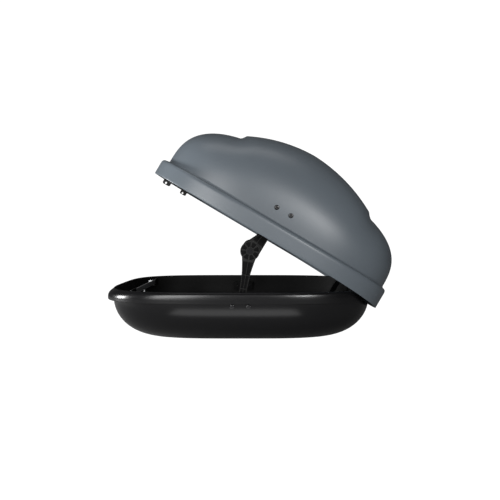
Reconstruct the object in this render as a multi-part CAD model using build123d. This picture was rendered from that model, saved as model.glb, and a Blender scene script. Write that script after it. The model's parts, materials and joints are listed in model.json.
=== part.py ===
from build123d import *
import os
from math import atan2, copysign, cos, degrees, hypot, pi, radians, sin

# Roof cargo box, shown with its lid propped open.
# Frame: millimetres, +X towards the front of the car, +Y to its left, +Z up.
# The origin is the middle of the base's flat underside.
# Lid parts are drawn where they lie on the closed box, then swung open about the hinge axis.
# Paired parts are drawn for the left side and mirrored.

# ---- shells ----
PLAN_POWER = 3.85           # superellipse power of every plan outline
OUTLINE_ARCS = 16
WALL = 3.0                  # thermoformed sheet
SNUG = 0.25                 # gap between a shell and a part shaped to lie on it
RIM_TOP = 182.0             # underside of the base to the top of its rim band
BODY_A, BODY_B = 492.5, 380.0
BODY_STRAIGHT = 35.0        # the walls stand upright this far down, then curve in
END_CURVE, SIDE_CURVE = 163.0, 130.0
# the rim band's outer face: depth below the rim, and reach at the rear, the sides and the front
BAND = [(39, 511.5, 393, 493.2), (32, 512.5, 393, 493.2), (24, 512, 393, 493.2), (15, 508.5, 393, 493.2),
        (9, 503.5, 393, 493.2), (4.5, 497, 391.5, 493), (3.8, 493.3, 391, 492.6), (0, 491.6, 386, 491)]
LID_A, LID_B = 497.0, 400.0
LID_BAND = 62.0             # height of the lid's upright skirt in the middle of its side
DOME_A, DOME_B = 477.0, 378.0
DOME_X = 5.0                # the dome sits this far forward, so the shoulder is wider at the rear
CROWN = 317.0               # dome above the shoulder, at the middle
CROWN_FALL, FALL_POWER = 10.5, 1.74     # how the crown falls away along X, per 100 mm
END_CROWN = 238.0           # dome above the shoulder, over the two ends
STEP_REAR, STEP_FRONT = -264.0, 289.0   # where the raised middle of the dome stops
DOME_POWER = 2.95
LID_LAP = 3.5               # the closed lid's edge lies this far below the base's rim
LID_DROOP = 18.0            # the lid's edge is this much lower at its front end
DROOP_POWER = 3.9
LID_EDGE = RIM_TOP - LID_LAP

# ---- hinge ----
OPEN_ANGLE = 30.5
HINGE_X, HINGE_Z = 390.0, RIM_TOP - 82.5
HINGE_Y = 180.0
PIN_R = 5.0                 # hinge pins, knee pins and stay pins
PRESSED = 0.02              # radial play of a pin in the part that holds it
RUNNING = 0.05              # radial play of a pin in the part that turns on it
NECK_WIDTH, NECK_THICK = 20.0, 14.0
CHEEK, CHEEK_GAP = 7.0, 0.6
HINGE_SCREW_Y = 23.0        # hinge screws stand this far each side of the neck

# ---- screws that hold feet to the walls, driven from inside ----
SCREW_R, SCREW_CAP_R, SCREW_CAP = 2.5, 6.5, 5.0
SCREW_SKIN = 2.8            # left outside the screw's tip, where the wall stands furthest out

# ---- stays ----
STAY_LOWER = (0.0, RIM_TOP - 49.0)       # pivot on the base, X and Z
STAY_KNEE = (33.5, RIM_TOP + 141.0)      # knee with the lid open
STAY_UPPER = (0.0, LID_EDGE + 109.0)     # pivot on the lid, with the lid closed
STAY_BOLT_X = 28.0
LOWER_ARM_Y = (342.0, 356.0)
UPPER_ARM_Y = (324.0, 338.0)
GUIDE_Y = (341.0, 347.0)
SLOT_X, SLOT_Z = -6.0, 25.4  # how far the upper pin wanders in its slot as the lid swings
KNEE_R = 34.0

# ---- latch and lock ----
HOOK_Y = 230.0
HOOK_X = (-439.0, -409.0)
HOOK_THICK = 6.0
HOOK_REACH = 17.0           # below the lid's edge
HOLE_X, HOLE_Z = -427.0, LID_EDGE - 10.5
HOLE_R, FINGER_R = 4.2, 3.4
LATCH_TRAVEL = 20.0
BAR_X = (-405.5, -401.0)
BAR_Z = (LID_EDGE - 24.0, LID_EDGE - 4.0)
LOCK_Z = RIM_TOP - 64.0
LOCK_FACE = -494.5          # outer end of the key barrel
LOCK_R = 8.0
CRANK_X = (-423.0, -418.0)

# ---- floor ----
RAIL_X = 215.0              # each steel floor rail's distance from the middle
RAIL_Z = WALL + 0.3
RAIL_WIDTH, RAIL_LENGTH, RAIL_THICK, RAIL_FLANGE = 120.0, 376.0, 2.5, 12.0
SLOT_WIDTH, SLOT_LENGTH = 7.0, 24.0
SLOT_SPACING_X, SLOT_SPACING_Y = 80.0, 320.0
RIVET_Y = (-180.0, -62.0, 62.0, 180.0)

nodes = {}


# ---- helpers ----
def outline(a, b, z, front=None):
    """A closed superellipse of half length a and half width b at height z, drawn in arcs.
    Its front half may have a half length of its own."""
    points = []
    for i in range(2 * OUTLINE_ARCS + 1):
        turn = pi * (i - 1) / OUTLINE_ARCS
        c, s = cos(turn), sin(turn)
        reach = (abs(c) ** PLAN_POWER + abs(s) ** PLAN_POWER) ** (-1 / PLAN_POWER)
        length = front if front and c > 0 else a
        points.append(Vector(length * c * reach, b * s * reach, z))
    starts = range(0, 2 * OUTLINE_ARCS, 2)
    return Wire([Edge.make_three_point_arc(points[i], points[i + 1], points[i + 2]) for i in starts])


def stack(levels):
    """A solid through outlines, lowest first."""
    return Solid.make_loft([outline(*level) for level in levels], ruled=True)


def prism(a, b, low, high):
    return extrude(Face(outline(a, b, low)), high - low, dir=(0, 0, 1))


def rounded_prism(a, b, low, high, radius):
    """A prism whose top edge is rounded."""
    levels = [(a, b, low)]
    for step in range(5):
        angle = radians(22.5 * step)
        inward = radius * (1 - cos(angle))
        levels.append((a - inward, b - inward, high - radius + radius * sin(angle)))
    return stack(levels)


def block(x, y, z):
    """A box between three pairs of limits."""
    low, high = zip(*(sorted(pair) for pair in (x, y, z)))
    size = [h - l for l, h in zip(low, high)]
    return Pos(*low) * Box(*size, align=(Align.MIN, Align.MIN, Align.MIN))


def rod_x(x, y, z, radius):
    return Pos((x[0] + x[1]) / 2, y, z) * Rot(0, 90, 0) * Cylinder(radius, abs(x[1] - x[0]))


def rod_y(x, y, z, radius):
    return Pos(x, (y[0] + y[1]) / 2, z) * Rot(90, 0, 0) * Cylinder(radius, abs(y[1] - y[0]))


def plate_xz(face, y):
    """An outline drawn with X and Z as its two directions, as a plate from y[0] to y[1]."""
    plane = Plane((0, y[0], 0), x_dir=(1, 0, 0), z_dir=(0, -1, 0))
    return extrude(plane * face, y[1] - y[0], dir=(0, 1, 0))


def opened(shape):
    """Swing a lid part from its closed place to the open one."""
    hinge = Pos(HINGE_X, 0, HINGE_Z)
    return hinge * Rot(0, OPEN_ANGLE, 0) * hinge.inverse() * shape


def swung(point, angle):
    """The X and Z of a point of the closed lid after it swings open by an angle."""
    x, z = point[0] - HINGE_X, point[1] - HINGE_Z
    c, s = cos(radians(angle)), sin(radians(angle))
    return (HINGE_X + x * c + z * s, HINGE_Z - x * s + z * c)


def mirrored(shape):
    return mirror(shape, Plane.XZ)


def keep(name, *shapes):
    """Store a node: one solid, or a group of separate solids."""
    solids = [solid for shape in shapes for solid in shape.solids()]
    nodes[name] = solids[0] if len(solids) == 1 else Compound(children=solids)


def keep_pair(name, left):
    keep(name + "_left", left)
    keep(name + "_right", mirrored(left))


def keep_group(name, left_shapes):
    keep(name, *left_shapes, *[mirrored(shape) for shape in left_shapes])


# ---- shells ----
def base_form(inset):
    """The base's body as a solid, inset evenly from its outer face."""
    drop = RIM_TOP - BODY_STRAIGHT
    levels = [(BODY_A - inset, BODY_B - inset, RIM_TOP + 1), (BODY_A - inset, BODY_B - inset, drop)]
    for step in range(1, 10):
        angle = radians(10 * step)
        inward = inset + (1 - cos(angle)) * END_CURVE
        sideways = inset + (1 - cos(angle)) * SIDE_CURVE
        levels.append((BODY_A - inward, BODY_B - sideways, drop - (drop - inset) * sin(angle)))
    return stack(levels[::-1])


def low_dome(inset):
    """The dome above the shoulder as it is at the two ends, carried right through."""
    levels = []
    for part in (1, 0.99, 0.97, 0.93, 0.87, 0.8, 0.72, 0.64, 0.56, 0.46, 0.34, 0.2, 0.08):
        height = (END_CROWN - inset) * (1 - part ** DOME_POWER) ** (1 / DOME_POWER)
        levels.append(((DOME_A - inset) * part, (DOME_B - inset) * part, LID_EDGE + LID_BAND + height))
    return Pos(DOME_X, 0, 0) * stack(levels)


def dome_section(x, inset):
    """The raised middle's outline across the car at x, closed just below the shoulder."""
    shoulder = LID_EDGE + LID_BAND
    along = abs((x - DOME_X) / (DOME_A - inset)) ** PLAN_POWER
    half = (DOME_B - inset) * (1 - along) ** (1 / PLAN_POWER)
    crown = CROWN - inset - CROWN_FALL * abs(x / 100) ** FALL_POWER
    points = []
    for i in range(-12, 13):
        y = half * copysign(abs(sin(pi * i / 24)) ** (2 / DOME_POWER), i)
        reach = min(1, (along + abs(y / (DOME_B - inset)) ** PLAN_POWER) ** (1 / PLAN_POWER))
        points.append(Vector(x, y, shoulder + crown * (1 - reach ** DOME_POWER) ** (1 / DOME_POWER)))
    edges = [Edge.make_three_point_arc(*points[i:i + 3]) for i in range(0, 24, 2)]
    foot = [points[-1], Vector(x, half - 0.4, shoulder - 2), Vector(x, 0.4 - half, shoulder - 2), points[0]]
    return Wire(edges + [Edge.make_line(*pair) for pair in zip(foot, foot[1:])])


def lid_form(inset):
    """The lid's dome as a solid, inset evenly, and carried straight down past the lid's edge."""
    shoulder = LID_EDGE + LID_BAND
    rear, front = STEP_REAR + inset, STEP_FRONT - inset
    below = Pos(DOME_X, 0, 0) * prism(DOME_A - inset, DOME_B - inset, LID_EDGE - 60, shoulder)
    ends = low_dome(inset) - block((rear, front), (-450, 450), (shoulder - 1, shoulder + CROWN))
    sections = [dome_section(rear + (front - rear) * i / 8, inset) for i in range(9)]
    return below + ends + Solid.make_loft(sections, ruled=True)


def base_lining(shape, thick):
    """The part of a shape that lies against the base's inner face, to an even thickness."""
    return (shape & base_form(WALL + SNUG)) - base_form(WALL + SNUG + thick)


def lid_lining(shape, thick):
    return (shape & lid_form(WALL + SNUG)) - lid_form(WALL + SNUG + thick)


def slot_centres():
    return [(side * RAIL_X + dx, dy) for side in (-1, 1)
            for dx in (-SLOT_SPACING_X / 2, SLOT_SPACING_X / 2)
            for dy in (-SLOT_SPACING_Y / 2, SLOT_SPACING_Y / 2)]


def floor_slots():
    slot = extrude(SlotOverall(SLOT_LENGTH, SLOT_WIDTH), 10, both=True)
    return [Pos(x, y, 0) * slot for x, y in slot_centres()]


def base_shell(screws):
    """Body and rim band: the sheet turns out and down over the top of the wall."""
    outer = [(rear, side, RIM_TOP - depth, front) for depth, rear, side, front in BAND]
    inner = [(rear - WALL, side - WALL, z - 1 if i == 0 else z - WALL, front - 1)
             for i, (rear, side, z, front) in enumerate(outer)]
    shell = (stack(outer) - stack(inner)) + (base_form(0) & block((-500, 500), (-400, 400), (0, RIM_TOP)))
    shell -= base_form(WALL)
    middle = floor_slots() + [rod_x((LOCK_FACE - 10, LOCK_FACE + 40), 0, LOCK_Z, 12)]
    middle += [Pos(side * RAIL_X, y, 0) * Cylinder(2.5, 20) for side in (-1, 1) for y in RIVET_Y]
    left = [rod_y(x, (y - 15, y + 9), z, 3.1) for x, y, z in stay_bolt_places(STAY_LOWER, BODY_B)]
    left += [screw_bore(*place) for place in screws]
    return shell - middle - left - [mirrored(cut) for cut in left]


def droop_cut():
    """What lies under the lid's lower edge, which is level but dips towards the front end."""
    far, low = LID_A + 20, LID_EDGE - 80
    dip = [(LID_A * i / 8, LID_EDGE - LID_DROOP * (i / 8) ** DROOP_POWER) for i in range(9)]
    edge = Spline(*dip, tangents=[(1, 0), (1, -DROOP_POWER * LID_DROOP / LID_A)])
    around = Polyline(dip[-1], (far, dip[-1][1] - 4), (far, low), (-far, low), (-far, LID_EDGE), dip[0])
    return plate_xz(make_face(edge + around), (-450, 450))


def lid_shell(screws):
    """Skirt, shoulder and dome, cut to the drooping edge."""
    skirt_low, skirt_top = LID_EDGE - LID_DROOP - 2, LID_EDGE + LID_BAND
    skirt = rounded_prism(LID_A, LID_B, skirt_low, skirt_top, 7)
    skirt -= prism(LID_A - WALL, LID_B - WALL, skirt_low - 1, skirt_top - WALL - 3)
    above = block((-500, 500), (-450, 450), (skirt_top - WALL - 3, skirt_top + CROWN + 9))
    shell = skirt + (lid_form(0) & above) - lid_form(WALL)
    shell -= droop_cut()
    left = [rod_y(x, (y - 15, y + 15), z, 3.1) for x, y, z in stay_bolt_places(STAY_UPPER, DOME_B)]
    left += [screw_bore(*place) for place in screws]
    return shell - left - [mirrored(cut) for cut in left]


# ---- fasteners: the places are for the left side, at about the outer face of the wall ----
def stay_bolt_places(pivot, y):
    return [(x, y, pivot[1]) for x in (-STAY_BOLT_X, STAY_BOLT_X)]


def wall_places(form, towards, y, z, apart):
    """Where two screws' tips lie within the wall of a shell, on its left half, side by side at y and z."""
    places = []
    for off in (-apart, apart):
        face = (rod_x((0, towards * LID_A), y + off, z, SCREW_R) & form).bounding_box()
        outer = face.max.X if towards > 0 else face.min.X
        places.append((outer - towards * SCREW_SKIN, y + off, z))
    return places


def stay_bolt(x, y, z, length):
    """A bolt along Y whose domed cap stands on the outside of the left wall at y."""
    cap = Pos(0, 0, 2.25) * Cylinder(8.5, 4.5)
    cap = fillet(cap.edges().group_by(Axis.Z)[-1], 3)
    cap -= Pos(0, 0, 3.1) * extrude(RegularPolygon(3.2, 6), 2)
    bolt = cap + Pos(0, 0, -length / 2) * Cylinder(3.0, length)
    return Pos(x, y, z) * Rot(-90, 0, 0) * bolt


def screw_bore(x, y, z):
    """The hole for a wall screw, from well inside to the tip of the screw."""
    return rod_x((x, x - copysign(60, x)), y, z, SCREW_R + 0.1)


def bored(foot, screws):
    return foot - [screw_bore(*place) for place in screws]


def wall_screw(x, y, z, foot):
    """A screw along X, driven outwards through a foot until its tip is at x, within the wall.
    Its cap is trimmed to the foot, which is curved and not yet bored."""
    inwards = -copysign(1, x)
    inside = rod_x((x, x + 60 * inwards), y, z, SCREW_CAP_R) - foot
    inside = inside.solids().sort_by(Axis.X)[-1 if inwards > 0 else 0]
    box = inside.bounding_box()
    seat = box.min.X if inwards > 0 else box.max.X
    cap = inside & rod_x((seat, seat + inwards * SCREW_CAP), y, z, SCREW_CAP_R)
    return cap + rod_x((seat + inwards * (SCREW_CAP - 0.5), x), y, z, SCREW_R)


# ---- hinges ----
def hinge_bracket():
    """Base half: a foot shaped to the front wall, and two cheeks that hold the pin."""
    half = NECK_THICK / 2 + CHEEK_GAP
    side = (HINGE_Y - half - CHEEK, HINGE_Y + half + CHEEK)
    corners = [(-15, -12), (-15, 15), (110, 30), (110, -55), (30, -34)]
    face = make_face(Polyline(*[(HINGE_X + x, HINGE_Z + z) for x, z in corners], close=True))
    cheeks = plate_xz(face, side) & base_form(WALL + SNUG)
    foot_y = (HINGE_Y - HINGE_SCREW_Y - 11, HINGE_Y + HINGE_SCREW_Y + 11)
    foot = base_lining(block((HINGE_X, BODY_A), foot_y, (HINGE_Z - 40, HINGE_Z + 24)), 7)
    bracket = cheeks + foot
    bracket -= block((HINGE_X - 40, HINGE_X + 50), (HINGE_Y - half, HINGE_Y + half), (HINGE_Z - 60, HINGE_Z + 60))
    bracket -= rod_y(HINGE_X, (HINGE_Y - 30, HINGE_Y + 30), HINGE_Z, PIN_R + PRESSED)
    return bracket


def hinge_pin():
    """A pin with a head at each end, outside the bracket's cheeks."""
    half = NECK_THICK / 2 + CHEEK_GAP + CHEEK + 0.2
    pin = rod_y(HINGE_X, (HINGE_Y - half - 2, HINGE_Y + half + 2), HINGE_Z, PIN_R)
    for end in (-1, 1):
        face = HINGE_Y + end * half
        pin += rod_y(HINGE_X, (face, face + end * 2.5), HINGE_Z, PIN_R + 3)
    return pin


def lid_neck():
    """Lid half: a neck that passes over the base's rim, and a foot on the lid's front wall."""
    thick = (HINGE_Y - NECK_THICK / 2, HINGE_Y + NECK_THICK / 2)
    corners = [(0, 0), (0, 130), (24, 172), (110, 172)]
    path = FilletPolyline(*[(HINGE_X + x, HINGE_Z + z) for x, z in corners], radius=24)
    neck = plate_xz(trace(path, NECK_WIDTH), thick) & lid_form(WALL + SNUG)
    foot_y = (HINGE_Y - HINGE_SCREW_Y - 11, HINGE_Y + HINGE_SCREW_Y + 11)
    neck += lid_lining(block((DOME_A - 60, 490), foot_y, (LID_EDGE + 76, LID_EDGE + 134)), 6)
    neck += rod_y(HINGE_X, thick, HINGE_Z, 13)
    neck -= rod_y(HINGE_X, (thick[0] - 1, thick[1] + 1), HINGE_Z, PIN_R + RUNNING)
    return neck


# ---- stays ----
def arm(start, end, y, start_radius, end_radius, upper_side, lower_side):
    """A moulded arm: round ends and drawn-in sides, with ribbed channels in both faces."""
    length = hypot(end[0] - start[0], end[1] - start[1])
    angle = degrees(atan2(end[1] - start[1], end[0] - start[0]))
    root, tip = (0, start_radius), (length - 0.7 * end_radius, 0.714 * end_radius)
    side = [root, *upper_side, tip]
    other = [(u, -v) for u, v in reversed([root, *lower_side, tip])]
    edge = Spline(*side) + ThreePointArc(side[-1], (length + end_radius, 0), other[0])
    edge += Spline(*other) + ThreePointArc(other[-1], (-start_radius, 0), side[0])
    place = Pos(*start) * Rot(0, 0, angle)
    body = plate_xz(place * make_face(edge), y)
    near, far = start_radius - 2, length - end_radius - 7
    for cell in range(3):
        low = near + (far - near) * cell / 3 + 1.5
        high = near + (far - near) * (cell + 1) / 3 - 1.5
        for flip in (-1, 1):
            reach = min(upper_side[0][1], lower_side[0][1]) - 3.5
            channel = Pos((low + high) / 2, flip * (1.5 + reach) / 2) * RectangleRounded(high - low, reach - 1.5, 1.5)
            body -= plate_xz(place * channel, (y[0], y[0] + 4.5))
            body -= plate_xz(place * channel, (y[1] - 4.5, y[1]))
    return body


def lower_arm():
    side = [(60, 12.5), (110, 15), (146, 20)]
    body = arm(STAY_LOWER, STAY_KNEE, LOWER_ARM_Y, 13, KNEE_R, side, side)
    reach = (LOWER_ARM_Y[0] - 1, LOWER_ARM_Y[1] + 1)
    body -= rod_y(*spot(STAY_LOWER, reach), PIN_R + RUNNING)
    return body - rod_y(*spot(STAY_KNEE, reach), PIN_R + PRESSED)


def upper_arm():
    outer_side, inner_side = [(60, 16), (107, 22), (146, 29)], [(60, 12), (112, 13), (139, 20)]
    body = arm(swung(STAY_UPPER, OPEN_ANGLE), STAY_KNEE, UPPER_ARM_Y, 12, KNEE_R, outer_side, inner_side)
    reach = (UPPER_ARM_Y[0] - 1, UPPER_ARM_Y[1] + 1)
    body -= rod_y(*spot(swung(STAY_UPPER, OPEN_ANGLE), reach), PIN_R + PRESSED)
    return body - rod_y(*spot(STAY_KNEE, reach), PIN_R + RUNNING)


def spot(point, y):
    """Arguments of rod_y for a pin through a point of the XZ plane."""
    return point[0], y, point[1]


def knee_pin():
    """Held in the lower arm; the upper arm and the spring turn on it."""
    pin = rod_y(*spot(STAY_KNEE, (302, 359)), PIN_R)
    pin += rod_y(*spot(STAY_KNEE, (356.2, 359)), 10)
    return pin + rod_y(*spot(STAY_KNEE, (302, 304.5)), 10)


def knee_spring():
    """A closely wound torsion spring round the knee pin, with one leg along the upper arm."""
    wire, coil_radius, pitch, turns = 1.3, 11.0, 2.4, 6
    body = Torus(coil_radius, wire)
    for turn in range(1, turns):
        body += Pos(0, 0, pitch * turn) * Torus(coil_radius, wire)
    body += rod_y(coil_radius, (0, 46), pitch * (turns - 1), wire)
    start = swung(STAY_UPPER, OPEN_ANGLE)
    lean = degrees(atan2(start[1] - STAY_KNEE[1], start[0] - STAY_KNEE[0]))
    return Pos(STAY_KNEE[0], 308, STAY_KNEE[1]) * Rot(-90, 0, 0) * Rot(0, 0, 270 - lean) * body


def stay_foot():
    """Moulded block on the base's side wall, which holds the lower pivot pin."""
    face = Pos(*STAY_LOWER) * RectangleRounded(92, 44, 10)
    foot = plate_xz(face, (358, 380)) & base_form(WALL + SNUG)
    foot -= rod_y(*spot(STAY_LOWER, (350, 390)), PIN_R + PRESSED)
    return foot - [rod_y(x, (356, 380), z, 3.1) for x, y, z in stay_bolt_places(STAY_LOWER, 0)]


def stay_foot_pin():
    pin = rod_y(*spot(STAY_LOWER, (338.5, 368)), PIN_R)
    return pin + rod_y(*spot(STAY_LOWER, (338.5, 341.5)), 8.5)


def stay_guide():
    """Moulded block on the lid's side wall, with the slot that the upper arm's pin rides in."""
    x, z = STAY_UPPER
    body = plate_xz(Pos(x, z + 14) * RectangleRounded(92, 76, 10), (GUIDE_Y[0], 385)) & lid_form(WALL + SNUG)
    body -= block((x + SLOT_X - 16, x + 16), (GUIDE_Y[1], 390), (z - 16, z + SLOT_Z + 16))
    slot = Pos(x + SLOT_X / 2, z + SLOT_Z / 2) * RectangleRounded(14 - SLOT_X, SLOT_Z + 14, 6.9)
    body -= plate_xz(slot, (GUIDE_Y[0] - 1, GUIDE_Y[1] + 1))
    return body - [rod_y(bx, (352, 385), bz, 3.1) for bx, by, bz in stay_bolt_places(STAY_UPPER, 0)]


def slide_pin():
    """Held in the upper arm; its washer rides behind the guide's slotted face."""
    place = swung(STAY_UPPER, OPEN_ANGLE)
    pin = rod_y(*spot(place, (321, 352)), PIN_R)
    pin += rod_y(*spot(place, (321, 323.8)), 8.5)
    return pin + rod_y(*spot(place, (GUIDE_Y[1] + 1.2, 352)), 12)


# ---- latch and lock ----
def latch_hook():
    """A blade that hangs from the lid's rear wall and enters the base, with a hole for the latch."""
    tip = LID_EDGE - HOOK_REACH
    corners = [(HOOK_X[0], tip + 4), (HOOK_X[0] + 4, tip), (HOOK_X[1] - 4, tip), (HOOK_X[1], tip + 4)]
    corners += [(HOOK_X[1], LID_EDGE + 20), (-432, LID_EDGE + 126), (-490, LID_EDGE + 126)]
    corners += [(-490, LID_EDGE + 72), (HOOK_X[0], LID_EDGE + 46)]
    face = make_face(Polyline(*corners, close=True)) - Pos(HOLE_X, HOLE_Z) * Circle(HOLE_R)
    thick = (HOOK_Y - HOOK_THICK / 2, HOOK_Y + HOOK_THICK / 2)
    blade = plate_xz(face, thick) & lid_form(WALL + SNUG)
    foot = lid_lining(block((-490, -400), (HOOK_Y - 24, HOOK_Y + 24), (LID_EDGE + 76, LID_EDGE + 124)), 5)
    return blade + foot


def latch_receiver():
    """A shelf on the base's rear wall that guides the latch bar under the hook."""
    side = (HOOK_Y - 32, HOOK_Y + 32)
    plate = base_lining(block((-BODY_A, -400), side, (LID_EDGE - 55, LID_EDGE - 26)), 4)
    shelf = block((-BODY_A, -396.5), side, (LID_EDGE - 31, LID_EDGE - 25.5)) & base_form(WALL + SNUG)
    upright = block((BAR_X[1] + 0.5, -396.5), side, (LID_EDGE - 31, LID_EDGE + 1))
    return plate + shelf + upright


def latch_bar():
    """A flat bar that carries two fingers and is pushed sideways by the lock's crank."""
    bar = block(BAR_X, (-HOOK_Y - 32, HOOK_Y + 10), BAR_Z)
    bar += block(BAR_X, (-LATCH_TRAVEL / 2 - 12, 2), (LOCK_Z + 3, BAR_Z[0]))
    bar -= block((BAR_X[0] - 1, BAR_X[1] + 1), (-LATCH_TRAVEL / 2 - 3.4, 3.4 - LATCH_TRAVEL / 2),
                 (LOCK_Z + 2, LOCK_Z + 18.5))
    for y in (-HOOK_Y, HOOK_Y):
        bar += rod_y(HOLE_X, (y - 29, y - 10), HOLE_Z, FINGER_R)
        bar += block((HOLE_X - 1, BAR_X[0]), (y - 30.5, y - 25.5), (HOLE_Z - 4, HOLE_Z + 4))
    return bar


def lock_housing():
    """A boss outside the rear wall and a barrel through it."""
    boss = (rod_x((LOCK_FACE + 0.5, LOCK_FACE + 40), 0, LOCK_Z, 18) - base_form(-0.15)).solids().sort_by(Axis.X)[0]
    housing = boss + rod_x((LOCK_FACE + 4, CRANK_X[0] - 1), 0, LOCK_Z, 11.7)
    return housing - rod_x((LOCK_FACE - 5, -400), 0, LOCK_Z, LOCK_R + RUNNING)


def lock_nut():
    through = (-BODY_A, 60 - BODY_A)
    return base_lining(rod_x(through, 0, LOCK_Z, 17), 6) - rod_x(through, 0, LOCK_Z, 11.9)


def lock_cylinder():
    """Key barrel with a crank on its inner end."""
    barrel = rod_x((LOCK_FACE, CRANK_X[0]), 0, LOCK_Z, LOCK_R)
    barrel -= block((LOCK_FACE - 2, LOCK_FACE + 12), (-0.9, 0.9), (LOCK_Z - 4.5, LOCK_Z + 4.5))
    side = LATCH_TRAVEL / 2
    web = Pos(0, 0, LOCK_Z) * Rot(45, 0, 0) * block(CRANK_X, (-5, 5), (-8, side * 2 ** 0.5))
    crank = rod_x(CRANK_X, 0, LOCK_Z, 9) + web + rod_x(CRANK_X, -side, LOCK_Z + side, 5)
    return barrel + crank + rod_x((CRANK_X[1] - 1, -398), -side, LOCK_Z + side, 2.5)


# ---- floor ----
def floor_rail(middle):
    """A steel channel that spreads the load of the roof-bar clamps over the floor."""
    x = (middle - RAIL_WIDTH / 2, middle + RAIL_WIDTH / 2)
    y = (-RAIL_LENGTH / 2, RAIL_LENGTH / 2)
    rail = block(x, y, (RAIL_Z, RAIL_Z + RAIL_FLANGE))
    inner = (x[0] + RAIL_THICK, x[1] - RAIL_THICK)
    rail -= block(inner, (y[0] - 1, y[1] + 1), (RAIL_Z + RAIL_THICK, RAIL_Z + RAIL_FLANGE + 1))
    holes = [Pos(middle, rivet_y, WALL) * Cylinder(2.5, 12) for rivet_y in RIVET_Y]
    return rail - floor_slots() - holes


def rivet(x, y):
    seat = RAIL_Z + RAIL_THICK
    cap = Pos(x, y, seat + 1.25) * Cylinder(5, 2.5)
    cap = fillet(cap.edges().group_by(Axis.Z)[-1], 1.8)
    return cap + Pos(x, y, seat / 2 + 0.3) * Cylinder(2.4, seat)


# ---- the nodes ----
bracket_screws = wall_places(base_form(0), 1, HINGE_Y, HINGE_Z + 4, HINGE_SCREW_Y)
receiver_screws = wall_places(base_form(0), -1, HOOK_Y, LID_EDGE - 41, 22)
lid_outside = lid_form(0)
neck_screws = wall_places(lid_outside, 1, HINGE_Y, LID_EDGE + 106, HINGE_SCREW_Y)
hook_screws = wall_places(lid_outside, -1, HOOK_Y, LID_EDGE + 100, 14)
bracket, receiver, neck, hook = hinge_bracket(), latch_receiver(), lid_neck(), latch_hook()

keep("base_shell", base_shell(bracket_screws + receiver_screws))
keep("floor_rail_front", floor_rail(RAIL_X))
keep("floor_rail_rear", floor_rail(-RAIL_X))
keep("floor_rail_rivets", *[rivet(side * RAIL_X, y) for side in (-1, 1) for y in RIVET_Y])
keep_pair("hinge_bracket", bored(bracket, bracket_screws))
keep_group("hinge_pins", [hinge_pin()])
keep_group("hinge_bracket_screws", [wall_screw(*place, bracket) for place in bracket_screws])
keep_pair("stay_foot", stay_foot())
keep_group("stay_foot_pins", [stay_foot_pin()])
keep_group("stay_foot_bolts", [stay_bolt(*place, 14) for place in stay_bolt_places(STAY_LOWER, BODY_B + 0.3)])
keep_pair("latch_receiver", bored(receiver, receiver_screws))
keep_group("latch_receiver_screws", [wall_screw(*place, receiver) for place in receiver_screws])
keep("lock_housing", lock_housing())
keep("lock_nut", lock_nut())
keep("lock_cylinder", lock_cylinder())
keep("latch_bar", latch_bar())

keep_pair("lower_arm", lower_arm())
keep_pair("knee_pin", knee_pin())
keep_pair("upper_arm", upper_arm())
keep_pair("knee_spring", knee_spring())
keep_pair("slide_pin", slide_pin())

keep("lid_shell", opened(lid_shell(neck_screws + hook_screws)))
keep_pair("lid_neck", opened(bored(neck, neck_screws)))
keep_group("lid_neck_screws", [opened(wall_screw(*place, neck)) for place in neck_screws])
keep_pair("stay_guide", opened(stay_guide()))
lid_bolts = stay_bolt_places(STAY_UPPER, DOME_B + 0.3)
keep_group("stay_guide_bolts", [opened(stay_bolt(*place, 16)) for place in lid_bolts])
keep_pair("latch_hook", opened(bored(hook, hook_screws)))
keep_group("latch_hook_screws", [opened(wall_screw(*place, hook)) for place in hook_screws])

os.makedirs("parts", exist_ok=True)
for name, shape in nodes.items():
    export_step(shape, f"parts/{name}.step")
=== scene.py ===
import json
from math import atan2, cos, hypot, pi, radians, sin

import bmesh
import bpy
from mathutils import Matrix, Vector


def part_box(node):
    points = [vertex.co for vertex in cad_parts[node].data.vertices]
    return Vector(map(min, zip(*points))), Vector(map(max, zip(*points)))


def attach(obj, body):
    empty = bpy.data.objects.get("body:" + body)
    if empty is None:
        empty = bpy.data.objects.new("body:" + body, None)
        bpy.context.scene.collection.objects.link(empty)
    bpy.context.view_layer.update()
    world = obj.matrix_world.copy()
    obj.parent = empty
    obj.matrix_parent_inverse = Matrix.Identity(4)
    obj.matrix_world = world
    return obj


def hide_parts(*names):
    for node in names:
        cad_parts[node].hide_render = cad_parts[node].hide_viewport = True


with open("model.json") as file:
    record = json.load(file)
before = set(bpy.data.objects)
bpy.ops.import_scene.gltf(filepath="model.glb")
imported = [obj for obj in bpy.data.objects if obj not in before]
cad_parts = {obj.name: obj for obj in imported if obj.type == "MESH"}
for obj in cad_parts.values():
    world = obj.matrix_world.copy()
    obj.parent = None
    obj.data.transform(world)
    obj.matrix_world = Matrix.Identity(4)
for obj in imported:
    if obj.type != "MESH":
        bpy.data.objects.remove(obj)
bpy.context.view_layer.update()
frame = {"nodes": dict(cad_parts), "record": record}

# Sizes in metres, in the CAD's frame: +X to the hinge end, +Y left, +Z up.
# A pair of reaches is half the length and half the width of an outline.
PLAN_POWER = 3.85
AROUND = 384                    # points round each shell
WALL = 0.003

RIM_TOP = 0.182
BODY = (0.4925, 0.380)
BODY_STRAIGHT = 0.035           # upright part of the wall, below the rim
FLOOR = (0.3295, 0.250)
RAIL_X, SLOT_Y, SLOT_APART = 0.215, 0.16, 0.04
LOCK_Z, LOCK_BORE = RIM_TOP - 0.064, 0.0239

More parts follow.
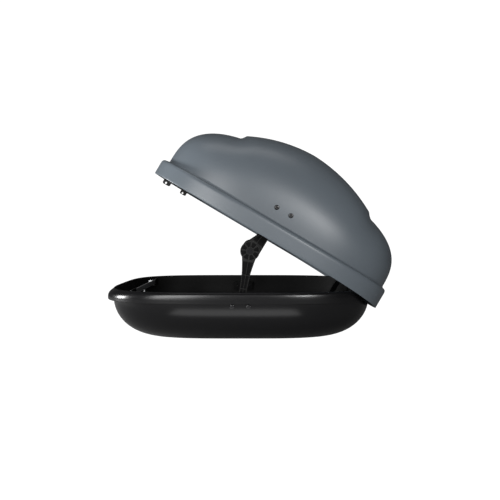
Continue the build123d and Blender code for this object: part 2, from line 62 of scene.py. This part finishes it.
LID = (0.497, 0.400)
LID_EDGE = RIM_TOP - 0.0035
LID_DROOP, DROOP_POWER = 0.018, 3.9
SHOULDER = LID_EDGE + 0.062
SKIRT_TOP = -0.0200             # top of the skirt's straight side, from the shoulder
DOME = (0.477, 0.378)
DOME_X = 0.005
CROWN, DOME_POWER = 0.317, 2.95
HINGE = Vector((0.390, 0, RIM_TOP - 0.0825))
OPEN_ANGLE = radians(30.5)

STAY_FOOT = (0, RIM_TOP - 0.049)   # lower pivot of the stays, X and Z
LOWER_ARM_Y, UPPER_ARM_Y = (0.342, 0.356), (0.324, 0.338)
LOWER_ROOT, UPPER_ROOT, KNEE_RADIUS = 0.013, 0.012, 0.034
KNEE_JOIN, STRAIGHT_JOIN = radians(134.4), radians(108)   # where an arm's sides meet its round knee
HUB_RADIUS, PIN_BORE = 0.014, 0.00505
SPRING_Y = 0.308


# ---- mesh helpers ----
def superellipse(turn):
    """The plan outline's unit point at a turn."""
    c, s = cos(turn), sin(turn)
    reach = (abs(c) ** PLAN_POWER + abs(s) ** PLAN_POWER) ** (-1 / PLAN_POWER)
    return c * reach, s * reach


def even_turns(count):
    """Angles that space points evenly along the outline."""
    steps = 4000
    angles = [2 * pi * i / steps for i in range(steps + 1)]
    places = [superellipse(angle) for angle in angles]
    lengths = [0.0]
    for (x0, y0), (x1, y1) in zip(places, places[1:]):
        lengths.append(lengths[-1] + hypot(x1 - x0, (y1 - y0) * 0.8))
    turns, i = [], 0
    for k in range(count):
        target = lengths[-1] * k / count
        while lengths[i + 1] < target:
            i += 1
        share = (target - lengths[i]) / (lengths[i + 1] - lengths[i])
        turns.append(angles[i] + share * (angles[i + 1] - angles[i]))
    return turns


UNIT = [superellipse(turn) for turn in even_turns(AROUND)]


def ring(rear, side, z, front=None, shift=0.0):
    """Points of one outline; its front half may reach further or less far than its rear."""
    front = rear if front is None else front
    return [Vector((shift + x * (front if x > 0 else rear), y * side, z)) for x, y in UNIT]


def smooth_line(points, per):
    """Points on a smooth curve through the given ones."""
    padded = [points[0]] + list(points) + [points[-1]]
    out = []
    for i in range(1, len(padded) - 2):
        p0, p1, p2, p3 = padded[i - 1:i + 3]
        for k in range(per):
            t = k / per
            out.append(tuple(
                0.5 * (2 * b + (c - a) * t + (2 * a - 5 * b + 4 * c - d) * t * t
                       + (3 * b - a - 3 * c + d) * t ** 3)
                for a, b, c, d in zip(p0, p1, p2, p3)))
    return out + [tuple(points[-1])]


def new_object(name, mesh, body, materials, replaces):
    """Link a finished mesh as a piece that rides on a body."""
    obj = bpy.data.objects.new(name, mesh)
    bpy.context.scene.collection.objects.link(obj)
    for material in materials:
        mesh.materials.append(material)
    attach(obj, body)
    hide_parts(*replaces)
    return obj


def skin(rings, inner_from):
    """A closed mesh through rings, with a pole at each end. Faces from one ring on get material 1."""
    mesh = bmesh.new()
    count = len(rings[0])
    rows = [[mesh.verts.new(point) for point in points] for points in rings]
    first = mesh.verts.new(sum(rings[0], Vector()) / count)
    last = mesh.verts.new(sum(rings[-1], Vector()) / count)
    for k in range(count):
        n = (k + 1) % count
        mesh.faces.new((first, rows[0][n], rows[0][k]))
        for i in range(len(rows) - 1):
            face = mesh.faces.new((rows[i][k], rows[i][n], rows[i + 1][n], rows[i + 1][k]))
            face.material_index = int(i >= inner_from)
        face = mesh.faces.new((last, rows[-1][k], rows[-1][n]))
        face.material_index = 1
    bmesh.ops.recalc_face_normals(mesh, faces=mesh.faces)
    return mesh


def finished(bm, name, angle=40):
    """Turn a bmesh into a smooth-shaded mesh with sharp edges above an angle."""
    mesh = bpy.data.meshes.new(name)
    bm.to_mesh(mesh)
    bm.free()
    mesh.polygons.foreach_set("use_smooth", [True] * len(mesh.polygons))
    mesh.set_sharp_from_angle(angle=radians(angle))
    return mesh


def holes_cut(bm, cutters):
    """Cut closed tool shapes, given as bmeshes, out of a bmesh."""
    tools = bpy.data.meshes.new("tools")
    joined = bmesh.new()
    for cutter in cutters:
        part = bpy.data.meshes.new("tool")
        cutter.to_mesh(part)
        joined.from_mesh(part)
        bpy.data.meshes.remove(part)
        cutter.free()
    joined.to_mesh(tools)
    joined.free()
    mesh = bpy.data.meshes.new("uncut")
    bm.to_mesh(mesh)
    bm.free()
    target = bpy.data.objects.new("uncut", mesh)
    tool = bpy.data.objects.new("tools", tools)
    for obj in (target, tool):
        bpy.context.scene.collection.objects.link(obj)
    cut = target.modifiers.new("cut", "BOOLEAN")
    cut.object = tool
    cut.solver = "EXACT"
    result = bpy.data.meshes.new_from_object(target.evaluated_get(bpy.context.evaluated_depsgraph_get()))
    for obj in (target, tool):
        bpy.data.objects.remove(obj)
    out = bmesh.new()
    out.from_mesh(result)
    bpy.data.meshes.remove(result)
    return out


def slot_tool(centre, axis, length, width, depth):
    """A closed round-ended prism along the X or Z axis. Along Z, its length lies in X."""
    bm = bmesh.new()
    straight = (length - width) / 2
    points = []
    for i in range(24):
        turn = 2 * pi * (i + 0.5) / 24
        end = straight if cos(turn) > 0 else -straight
        points.append((cos(turn) * width / 2 + end, sin(turn) * width / 2))
    place = Matrix.Rotation(pi / 2, 4, "Y") if axis == "X" else Matrix()
    rows = []
    for end in (-depth / 2, depth / 2):
        rows.append([bm.verts.new(Vector(centre) + place @ Vector((x, y, end))) for x, y in points])
    bm.faces.new(rows[0][::-1])
    bm.faces.new(rows[1])
    for k in range(24):
        n = (k + 1) % 24
        bm.faces.new((rows[0][k], rows[0][n], rows[1][n], rows[1][k]))
    bmesh.ops.recalc_face_normals(bm, faces=bm.faces)
    return bm


def middle(name):
    """The middle of a CAD part's box."""
    low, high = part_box(name)
    return (low + high) / 2


# ---- materials ----
def plastic(name, colour, roughness, grain, coat=0.0, specular=0.5, mottle=0.06, bump=0.15):
    """Moulded or thermoformed plastic: fine grain, slow slight colour variation and fine gloss variation."""
    material = bpy.data.materials.new(name)
    material.use_nodes = True
    tree = material.node_tree
    nodes, links = tree.nodes, tree.links
    shader = nodes["Principled BSDF"]
    shader.inputs["Coat Weight"].default_value = coat
    shader.inputs["Coat Roughness"].default_value = 0.25
    shader.inputs["Specular IOR Level"].default_value = specular
    place = nodes.new("ShaderNodeTexCoord")

    slow = nodes.new("ShaderNodeTexNoise")
    slow.inputs["Scale"].default_value = 6
    slow.inputs["Detail"].default_value = 3
    links.new(place.outputs["Object"], slow.inputs["Vector"])
    shade = nodes.new("ShaderNodeValToRGB")
    shade.color_ramp.elements[0].position = 0.35
    shade.color_ramp.elements[1].position = 0.65
    shade.color_ramp.elements[0].color = (*[c * (1 - mottle) for c in colour], 1)
    shade.color_ramp.elements[1].color = (*[c * (1 + mottle) for c in colour], 1)
    links.new(slow.outputs["Fac"], shade.inputs["Fac"])
    links.new(shade.outputs["Color"], shader.inputs["Base Color"])

    fine = nodes.new("ShaderNodeTexNoise")
    fine.inputs["Scale"].default_value = grain
    fine.inputs["Detail"].default_value = 4
    fine.inputs["Roughness"].default_value = 0.6
    links.new(place.outputs["Object"], fine.inputs["Vector"])
    gloss = nodes.new("ShaderNodeMapRange")
    gloss.inputs["To Min"].default_value = roughness - 0.04
    gloss.inputs["To Max"].default_value = roughness + 0.04
    links.new(fine.outputs["Fac"], gloss.inputs["Value"])
    links.new(gloss.outputs["Result"], shader.inputs["Roughness"])

    relief = nodes.new("ShaderNodeBump")
    relief.inputs["Strength"].default_value = bump
    relief.inputs["Distance"].default_value = 0.0004
    links.new(fine.outputs["Fac"], relief.inputs["Height"])
    links.new(relief.outputs["Normal"], shader.inputs["Normal"])
    return material


def metal(name, colour, roughness, direction, stains=0.25):
    """Plated steel: fine drawn lines, cloudy zinc and faint stains."""
    material = bpy.data.materials.new(name)
    material.use_nodes = True
    tree = material.node_tree
    nodes, links = tree.nodes, tree.links
    shader = nodes["Principled BSDF"]
    shader.inputs["Metallic"].default_value = 1.0
    place = nodes.new("ShaderNodeTexCoord")
    stretch = nodes.new("ShaderNodeMapping")
    stretch.inputs["Scale"].default_value = direction
    links.new(place.outputs["Object"], stretch.inputs["Vector"])

    lines = nodes.new("ShaderNodeTexNoise")
    lines.inputs["Scale"].default_value = 90
    lines.inputs["Detail"].default_value = 5
    links.new(stretch.outputs["Vector"], lines.inputs["Vector"])
    cloud = nodes.new("ShaderNodeTexVoronoi")
    cloud.inputs["Scale"].default_value = 160
    links.new(place.outputs["Object"], cloud.inputs["Vector"])
    both = nodes.new("ShaderNodeMix")
    both.data_type = "RGBA"
    both.blend_type = "MULTIPLY"
    both.inputs["Factor"].default_value = stains
    links.new(lines.outputs["Color"], both.inputs["A"])
    links.new(cloud.outputs["Color"], both.inputs["B"])
    shade = nodes.new("ShaderNodeValToRGB")
    shade.color_ramp.elements[0].position = 0.25
    shade.color_ramp.elements[1].position = 0.75
    shade.color_ramp.elements[0].color = (*[c * 0.75 for c in colour], 1)
    shade.color_ramp.elements[1].color = (*colour, 1)
    links.new(both.outputs["Result"], shade.inputs["Fac"])
    links.new(shade.outputs["Color"], shader.inputs["Base Color"])

    gloss = nodes.new("ShaderNodeMapRange")
    gloss.inputs["To Min"].default_value = roughness - 0.06
    gloss.inputs["To Max"].default_value = roughness + 0.1
    links.new(lines.outputs["Fac"], gloss.inputs["Value"])
    links.new(gloss.outputs["Result"], shader.inputs["Roughness"])
    relief = nodes.new("ShaderNodeBump")
    relief.inputs["Strength"].default_value = 0.12
    relief.inputs["Distance"].default_value = 0.0002
    links.new(lines.outputs["Fac"], relief.inputs["Height"])
    links.new(relief.outputs["Normal"], shader.inputs["Normal"])
    return material


lid_outside = plastic("lid_outside", (0.110, 0.129, 0.147), 0.36, 900, mottle=0.02, bump=0.12)
lid_inside = plastic("lid_inside", (0.095, 0.111, 0.127), 0.55, 500, specular=0.2, mottle=0.04, bump=0.3)
base_black = plastic("base_black", (0.004, 0.004, 0.0045), 0.25, 700, specular=0.4, mottle=0.05, bump=0.06)
# the base's inside: the same black moulding, coloured darker as painted shade inside the box
base_inside_painted_shade = plastic("base_inside_painted_shade", (0.002, 0.002, 0.002), 0.6, 400, specular=0.12, mottle=0.1, bump=0.35)
nylon = plastic("nylon", (0.0015, 0.0015, 0.0016), 0.34, 600, specular=0.1, mottle=0.1, bump=0.2)
# the arms' rib tops and sides: lighter than the nylon that paints shade into their cells
rib_black = plastic("rib_black", (0.009, 0.009, 0.0085), 0.4, 600, specular=0.2, mottle=0.1, bump=0.2)
cap_black = plastic("cap_black", (0.008, 0.008, 0.009), 0.22, 300, coat=0.4, bump=0.05)
sheet_steel = metal("sheet_steel", (0.56, 0.57, 0.58), 0.36, (1, 12, 12))
turned_steel = metal("turned_steel", (0.6, 0.6, 0.61), 0.28, (12, 1, 12))
spring_wire = metal("spring_wire", (0.28, 0.28, 0.3), 0.3, (1, 1, 12))
dark_pin = metal("dark_pin", (0.02, 0.02, 0.021), 0.36, (12, 1, 12))


# ---- base shell ----
def base_rings():
    """From the middle of the underside out, up, over the rim band and down inside to the floor."""
    drop = RIM_TOP - BODY_STRAIGHT
    rings = [ring(FLOOR[0] * k, FLOOR[1] * k, 0) for k in (0.25, 0.5, 0.75, 0.9)]
    steps = 18
    for i in range(steps + 1):
        angle = pi / 2 * i / steps
        share = sin(angle)
        reach = [low + (high - low) * share for low, high in zip(FLOOR, BODY)]
        rings.append(ring(*reach, drop * (1 - cos(angle))))
    # reaches to the rear and side, height above the rim's top, reach to the front
    band = [
        # the wall's top, and out under the band
        (0.4925, 0.3800, -0.0250, 0.4925), (0.4925, 0.3800, -0.0130, 0.4925),
        (0.4950, 0.3812, -0.0080, 0.4916), (0.5000, 0.3850, -0.0080, 0.4910),
        # down inside its skirt
        (0.5050, 0.3885, -0.0140, 0.4908), (0.5078, 0.3895, -0.0240, 0.4908),
        (0.5084, 0.3897, -0.0320, 0.4908), (0.5085, 0.3897, -0.0386, 0.4908),
        # round its lower lip
        (0.5088, 0.3899, -0.0390, 0.4910), (0.5115, 0.3926, -0.0390, 0.4927),
        (0.5121, 0.3931, -0.0388, 0.4930), (0.5126, 0.3933, -0.0376, 0.4932),
        # up its outer face and over the top, where the closed lid's edge finds room at the rear
        (0.5126, 0.3933, -0.0310, 0.4932), (0.5120, 0.3933, -0.0240, 0.4932),
        (0.5082, 0.3929, -0.0160, 0.4932), (0.5015, 0.3920, -0.0094, 0.4931),
        (0.4947, 0.3903, -0.0048, 0.4926), (0.4919, 0.3880, -0.0016, 0.4918),
        (0.4910, 0.3850, -0.0001, 0.4911), (0.4904, 0.3820, 0.0000, 0.4904),
        # down inside
        (0.4897, 0.3792, -0.0018, 0.4898), (0.4895, 0.3774, -0.0056, 0.4895),
        (0.4895, 0.3770, -0.0200, 0.4895),
    ]
    for rear, side, z, front in smooth_line(band, 4):
        rings.append(ring(rear, side, RIM_TOP + z, front))
    # from the rim's top on, down the inside, the faces take the darker painted-shade colour
    outer = len(rings) - 12
    for i in range(steps + 1):
        angle = pi / 2 * (1 - i / steps)
        share = sin(angle)
        reach = [low + (high - WALL - low) * share for low, high in zip(FLOOR, BODY)]
        rings.append(ring(*reach, WALL + (drop - WALL) * (1 - cos(angle))))
    rings += [ring(FLOOR[0] * k, FLOOR[1] * k, WALL) for k in (0.9, 0.75, 0.5, 0.25)]
    return rings, outer


def build_base():
    """The base shell with its floor slots and lock bore."""
    rings, inner_from = base_rings()
    bm = skin(rings, inner_from)
    cutters = []
    for rail in (-RAIL_X, RAIL_X):
        for across in (-SLOT_Y, SLOT_Y):
            for x in (rail - SLOT_APART, rail + SLOT_APART):
                cutters.append(slot_tool((x, across, WALL / 2), "Z", 0.024, 0.007, 0.012))
    cutters.append(slot_tool((-0.489, 0, LOCK_Z), "X", LOCK_BORE, LOCK_BORE, 0.03))
    bm = holes_cut(bm, cutters)
    # material 1, the darker copy of the base plastic, paints shade over the inside faces
    return new_object("base_shell_moulding", finished(bm, "base_shell_moulding", 50), "base",
                      [base_black, base_inside_painted_shade], ["base_shell"])


# ---- lid shell ----
def crown_at(x, y):
    """Height of the dome's crown line: a raised middle that steps down to both ends.
    The steps are crisp over the top and fade out down the sides."""
    u = x * 10
    raised = CROWN - 0.010467 * abs(u + 0.016) ** 1.74
    rear = 0.2443 + 0.0014 * (u + 2.64) - 0.0009 * (u + 2.64) ** 2
    front = 0.2333 - 0.0026 * (u - 2.89) - 0.00096 * (u - 2.89) ** 2
    fade = min(1, max(0, (abs(y) - 0.20) / 0.15))
    fade = fade * fade * (3 - 2 * fade)
    width = 0.0032 + 0.034 * fade

    def settled(distance):
        t = min(1, max(0, 0.5 + distance / (4 * width)))
        return t * t * (3 - 2 * t)

    to_rear = settled(-0.264 - x)
    to_front = settled(x - 0.2895)
    return raised * (1 - to_rear - to_front) + rear * to_rear + front * to_front


def dome_ring(reach, inset):
    """One ring of the dome, from its crown (0) to its foot on the shoulder (1)."""
    points = []
    for x, y in UNIT:
        px = DOME_X + x * (DOME[0] - inset) * reach
        py = y * (DOME[1] - inset) * reach
        height = (crown_at(px, py) - inset) * (1 - reach ** DOME_POWER) ** (1 / DOME_POWER)
        points.append(Vector((px, py, SHOULDER + height)))
    return points


def lid_rings():
    """From the crown down the outside to the lower edge, and back up inside."""
    steps = 150
    rings = []
    for i in range(1, steps):
        share = 1 - (1 - i / steps) ** 1.45
        reach = sin(pi / 2 * share) ** (2 / DOME_POWER)
        rings.append(dome_ring(reach, 0))

    def flat(grow, z, shift):
        return ring(DOME[0] + grow, DOME[1] + grow, SHOULDER + z, shift=shift)

    # the groove at the dome's foot, the shoulder and the skirt's rounded upper edge
    rings += [flat(0.0003, 0.0065, DOME_X), flat(0.0009, 0.0035, DOME_X), flat(0.0022, 0.0012, DOME_X),
              flat(0.0045, 0.0001, DOME_X)]
    shoulder = [(-0.0130, -0.0005), (-0.0085, -0.0012), (-0.0058, -0.0022), (-0.0035, -0.0040),
                (-0.0018, -0.0065), (-0.0007, -0.0098), (-0.0001, -0.0140), (0, SKIRT_TOP)]
    rings += [ring(LID[0] + grow, LID[1] + grow, SHOULDER + z) for grow, z in smooth_line(shoulder, 3)]

    def skirt(grow, lift, share):
        points = []
        for x, y in UNIT:
            dip = LID_DROOP * max(0, x) ** DROOP_POWER
            low = LID_EDGE - dip + lift
            top = SHOULDER + SKIRT_TOP
            points.append(Vector((x * (LID[0] + grow), y * (LID[1] + grow), top + (low - top) * share)))
        return points

    rings += [skirt(0, 0, k / 6) for k in range(1, 6)]
    rings += [skirt(-0.0001, 0.0008, 1), skirt(-0.0005, 0.0001, 1), skirt(-0.0012, 0, 1)]
    outer = len(rings)
    rings += [skirt(-0.0026, 0.0001, 1), skirt(-WALL, 0.0008, 1)]
    rings += [skirt(-WALL, 0, k / 6) for k in range(5, -1, -1)]
    inner_top = -WALL - 0.0015
    inner_shoulder = [(-0.0035, -0.0100), (-0.0055, -0.0062), (-0.0090, -0.0050), (-0.0130, inner_top)]
    rings += [ring(LID[0] + grow, LID[1] + grow, SHOULDER + z) for grow, z in inner_shoulder]
    rings += [flat(0.0005, inner_top, DOME_X), flat(-0.0020, -0.0025, DOME_X), flat(-0.0028, 0.0020, DOME_X)]
    for i in range(70, 0, -1):
        share = 1 - (1 - i / 71) ** 1.45
        rings.append(dome_ring(sin(pi / 2 * share) ** (2 / DOME_POWER), WALL))
    return rings, outer


def build_lid():
    """The lid shell, drawn closed and then swung open about its hinge."""
    rings, inner_from = lid_rings()
    bm = skin(rings, inner_from)
    turn = Matrix.Translation(HINGE) @ Matrix.Rotation(OPEN_ANGLE, 4, "Y") @ Matrix.Translation(-HINGE)
    bm.transform(turn)
    return new_object("lid_shell_moulding", finished(bm, "lid_shell_moulding", 50), "lid",
                      [lid_outside, lid_inside], ["lid_shell"])


# ---- knee springs ----
def build_spring(side):
    """A torsion spring as one swept wire, where the CAD's stack of rings is."""
    name = "knee_spring_" + side
    centre, upper = middle("knee_pin_" + side), middle("slide_pin_" + side)
    coil, wire, pitch, turns = 0.011, 0.0013, 0.0026, 5.0
    sign = 1 if centre.y > 0 else -1
    start = SPRING_Y * sign
    lean = atan2(upper.z - centre.z, upper.x - centre.x)
    points = []
    steps = 28 * int(turns)
    for i in range(steps + 1):
        angle = lean - pi / 2 - 2 * pi * turns * (1 - i / steps)
        points.append(Vector((centre.x + coil * cos(angle), start + sign * pitch * turns * i / steps,
                              centre.z + coil * sin(angle))))
    # straight legs, one along the upper arm and one off the first coil
    along = Vector((cos(lean), 0, sin(lean)))
    points += [points[-1] + along * reach for reach in (0.012, 0.028, 0.042)]
    first = points[0]
    tail = Vector((first.x - centre.x, 0, first.z - centre.z)).normalized().cross(Vector((0, 1, 0)))
    points = [first - tail * 0.016, first - tail * 0.008] + points
    curve = bpy.data.curves.new(name, "CURVE")
    curve.dimensions = "3D"
    curve.bevel_depth = wire
    curve.bevel_resolution = 3
    curve.use_fill_caps = True
    line = curve.splines.new("POLY")
    line.points.add(len(points) - 1)
    for place, point in zip(line.points, points):
        place.co = (*point, 1)
    obj = bpy.data.objects.new(name, curve)
    bpy.context.scene.collection.objects.link(obj)
    mesh = bpy.data.meshes.new_from_object(obj.evaluated_get(bpy.context.evaluated_depsgraph_get()))
    bpy.data.objects.remove(obj)
    return new_object("knee_spring_wire_" + side, mesh, "upper_arm_" + side,
                      [spring_wire], [name])


# ---- stay arms ----
def arm_outline(length, start_radius, end_radius, sides, joins):
    """Points round an arm in its own (along, across) directions, counterclockwise from its root."""
    points = []
    for sign, side, join in ((-1, sides[1], joins[1]), (1, sides[0], joins[0])):
        root, tip = (0, start_radius), (length + end_radius * cos(join), end_radius * sin(join))
        run = smooth_line([root, *side, tip], 8)
        points.append([(u, sign * v) for u, v in run])
    knee = [-joins[1] + (joins[0] + joins[1]) * i / 40 for i in range(1, 40)]
    turn = [(length + end_radius * cos(a), end_radius * sin(a)) for a in knee]
    half_turn = [pi / 2 + pi * i / 16 for i in range(1, 16)]
    root = [(start_radius * cos(a), start_radius * sin(a)) for a in half_turn]
    return points[0] + turn + points[1][::-1] + root


def inset_side(side, root, tip, u, gap):
    """How far across an arm reaches at u, less a gap."""
    run = smooth_line([root, *side, tip], 8)
    for (u0, v0), (u1, v1) in zip(run, run[1:]):
        if u0 <= u <= u1:
            return v0 + (v1 - v0) * (u - u0) / (u1 - u0) - gap
    return tip[1] - gap


def build_arm(name, start, end, y, radii, sides, joins):
    """A moulded arm with deep cells between its ribs, and ribs that fan out round the knee. The faces cut
    into the cells and bores take the darker nylon as painted shade, against the lighter rib_black of the
    arm's own faces.
    """
    start, end = Vector(start), Vector(end)
    along = (end - start).normalized()
    across = Vector((-along.y, along.x))
    length = (end - start).length

    def place(u, v, depth):
        point = start + along * u + across * v
        return Vector((point.x, depth, point.y))

    def slab(points, low, high, slot=1):
        bm = bmesh.new()
        rows = [[bm.verts.new(place(u, v, depth)) for u, v in points] for depth in (low, high)]
        bm.faces.new(rows[0])
        bm.faces.new(rows[1][::-1])
        for k in range(len(points)):
            n = (k + 1) % len(points)
            bm.faces.new((rows[0][k], rows[1][k], rows[1][n], rows[0][n]))
        for face in bm.faces:
            face.material_index = slot
        bmesh.ops.recalc_face_normals(bm, faces=bm.faces)
        return bm

    root = (0, radii[0])
    tips = [(length + radii[1] * cos(join), radii[1] * sin(join)) for join in joins]
    rib, edge, depth = 0.0011, 0.0028, 0.0048
    shapes = []
    near, far = radii[0] - 0.002, length - radii[1] - 0.003
    for cell in range(3):
        low, high = near + (far - near) * cell / 3 + rib, near + (far - near) * (cell + 1) / 3 - rib
        for sign, side, tip in ((1, sides[0], tips[0]), (-1, sides[1], tips[1])):
            along_side = [low + (high - low) * i / 6 for i in range(7)]
            outer = [(u, sign * inset_side(side, root, tip, u, edge)) for u in along_side]
            shapes.append([(low, sign * rib)] + outer + [(high, sign * rib)])
    for k in range(8):
        angles = [pi / 4 * k + 0.10 + (pi / 4 - 0.20) * i / 6 for i in range(7)]
        outer = [(length + (radii[1] - edge) * cos(a), (radii[1] - edge) * sin(a)) for a in angles]
        inner = [(length + HUB_RADIUS * cos(a), HUB_RADIUS * sin(a)) for a in angles[::-1]]
        shapes.append(outer + inner)
    cutters = []
    # every cut face keeps slot 1, the darker nylon: painted shade in the cells
    for points in shapes:
        cutters.append(slab(points, min(y) - 0.001, min(y) + depth))
        cutters.append(slab(points, max(y) - depth, max(y) + 0.001))
    for u in (0, length):
        turns = [2 * pi * i / 32 for i in range(32)]
        bore = [(u + PIN_BORE * cos(a), PIN_BORE * sin(a)) for a in turns]
        cutters.append(slab(bore, min(y) - 0.002, max(y) + 0.002))
    bm = holes_cut(slab(arm_outline(length, *radii, sides, joins), *y, 0), cutters)
    # slot 0, rib_black, for the arm's own faces; slot 1, the darker nylon, for the cut cells as painted
    # shade
    obj = new_object(name + "_moulding", finished(bm, name + "_moulding", 35), name,
                     [rib_black, nylon], [name])
    bevel = obj.modifiers.new("edges", "BEVEL")
    bevel.width = 0.0005
    bevel.segments = 2
    bevel.limit_method = "ANGLE"
    bevel.angle_limit = radians(50)
    return obj


def build_stay(side):
    """The two arms of one stay."""
    sign = 1 if side == "left" else -1
    knee, upper = middle("knee_pin_" + side), middle("slide_pin_" + side)
    lower_side = [(0.060, 0.0125), (0.110, 0.015), (0.146, 0.020)]
    build_arm("lower_arm_" + side, STAY_FOOT, (knee.x, knee.z), [y * sign for y in LOWER_ARM_Y],
              (LOWER_ROOT, KNEE_RADIUS), (lower_side, lower_side), (KNEE_JOIN, KNEE_JOIN))
    outer_side = [(0.060, 0.016), (0.107, 0.0225)]
    inner_side = [(0.060, 0.012), (0.112, 0.013), (0.139, 0.020)]
    build_arm("upper_arm_" + side, (upper.x, upper.z), (knee.x, knee.z), [y * sign for y in UPPER_ARM_Y],
              (UPPER_ROOT, KNEE_RADIUS), (outer_side, inner_side), (STRAIGHT_JOIN, KNEE_JOIN))


build_base()
build_lid()
for side in ("left", "right"):
    build_spring(side)
    build_stay(side)


# ---- the CAD parts that stay ----
FINISH = {
    "moulded_black": nylon,
    "steel_plate": sheet_steel,
    "steel_pin": turned_steel,
    "spring_steel": spring_wire,
    "black_fastener": cap_black,
    "hook_nylon": nylon,
    "base_plastic": base_black,
    "lid_plastic": lid_outside,
}
BLACKENED = ("knee_pin_left", "knee_pin_right", "latch_receiver_screws")
for part in frame["record"]["subparts"]:
    obj = frame["nodes"][part["node"]]
    obj.data.materials.clear()
    obj.data.materials.append(dark_pin if part["node"] in BLACKENED else FINISH[part["material_slot"]])


# ---- stage ----
def build_floor():
    """A wide pale floor that curves up into a backdrop behind the object."""
    bm = bmesh.new()
    reach, back, bend = 9.0, 3.4, 1.6
    profile = [(-reach, 0.0), (back, 0.0)]
    profile += [(back + bend * sin(a), bend * (1 - cos(a))) for a in [pi / 2 * i / 16 for i in range(1, 17)]]
    profile += [(back + bend, 6.0)]
    rows = [[bm.verts.new((x, y, z)) for x in (-reach, reach)] for y, z in profile]
    for a, b in zip(rows, rows[1:]):
        bm.faces.new((a[0], a[1], b[1], b[0]))
    bmesh.ops.recalc_face_normals(bm, faces=bm.faces)
    mesh = bpy.data.meshes.new("floor")
    bm.to_mesh(mesh)
    bm.free()
    mesh.polygons.foreach_set("use_smooth", [True] * len(mesh.polygons))
    material = bpy.data.materials.new("floor_paper")
    material.use_nodes = True
    nodes, links = material.node_tree.nodes, material.node_tree.links
    shader = nodes["Principled BSDF"]
    shader.inputs["Base Color"].default_value = (0.36, 0.36, 0.36, 1)
    shader.inputs["Roughness"].default_value = 0.9
    shader.inputs["Specular IOR Level"].default_value = 0.0
    # white to the eye, but it throws only a little light back at the object
    glow = nodes.new("ShaderNodeEmission")
    glow.inputs["Strength"].default_value = 1.25
    ray = nodes.new("ShaderNodeLightPath")
    share = nodes.new("ShaderNodeMapRange")
    share.inputs["To Max"].default_value = 0.86
    both = nodes.new("ShaderNodeMixShader")
    links.new(ray.outputs["Is Camera Ray"], share.inputs["Value"])
    links.new(share.outputs["Result"], both.inputs["Fac"])
    links.new(shader.outputs["BSDF"], both.inputs[1])
    links.new(glow.outputs["Emission"], both.inputs[2])
    links.new(both.outputs["Shader"], nodes["Material Output"].inputs["Surface"])
    mesh.materials.append(material)
    obj = bpy.data.objects.new("floor", mesh)
    bpy.context.scene.collection.objects.link(obj)


def softbox(name, place, target, size, power):
    """A soft rectangular light that faces a point."""
    light = bpy.data.lights.new(name, "AREA")
    light.shape = "RECTANGLE"
    light.size, light.size_y = size
    light.energy = power
    obj = bpy.data.objects.new(name, light)
    obj.location = place
    obj.rotation_euler = (Vector(target) - Vector(place)).to_track_quat("-Z", "Y").to_euler()
    bpy.context.scene.collection.objects.link(obj)
    return obj


build_floor()
softbox("left_softbox", (-1.3, -3.2, 0.9), (0, 0, 0.35), (1.5, 1.3), 60)
softbox("rim_light", (-2.1, -0.45, 0.45), (-0.4, -0.3, 0.2), (0.6, 0.5), 48)
low_light = softbox("floor_glow", (-0.03, -0.56, 0.004), (-0.03, -0.56, 1), (0.54, 0.16), 0.42)
low_light.visible_camera = False
softbox("right_softbox", (1.1, -3.4, 1.0), (0.1, 0, 0.35), (0.4, 0.7), 36)
softbox("top_softbox", (0.1, -0.6, 3.0), (0, 0, 0), (2.4, 1.0), 12)

world = bpy.data.worlds.new("studio")
world.use_nodes = True
backdrop = world.node_tree.nodes["Background"]
backdrop.inputs["Color"].default_value = (1, 1, 1, 1)
# white to the eye, but only a little light
ray = world.node_tree.nodes.new("ShaderNodeLightPath")
strength = world.node_tree.nodes.new("ShaderNodeMapRange")
strength.inputs["To Min"].default_value = 0.07
strength.inputs["To Max"].default_value = 1.0
world.node_tree.links.new(ray.outputs["Is Camera Ray"], strength.inputs["Value"])
world.node_tree.links.new(strength.outputs["Result"], backdrop.inputs["Strength"])
bpy.context.scene.world = world
bpy.context.scene.view_settings.view_transform = "Standard"

# ---- camera: level, opposite the right-hand side ----
camera = bpy.data.cameras.new("camera")
camera.lens = 36.53
camera.sensor_width = 36.0
camera.shift_y = -0.03
camera_object = bpy.data.objects.new("camera", camera)
camera_object.location = (0.0335, -2.118, RIM_TOP + 0.1971)
camera_object.rotation_euler = (pi / 2, 0, 0)
bpy.context.scene.collection.objects.link(camera_object)
bpy.context.scene.camera = camera_object
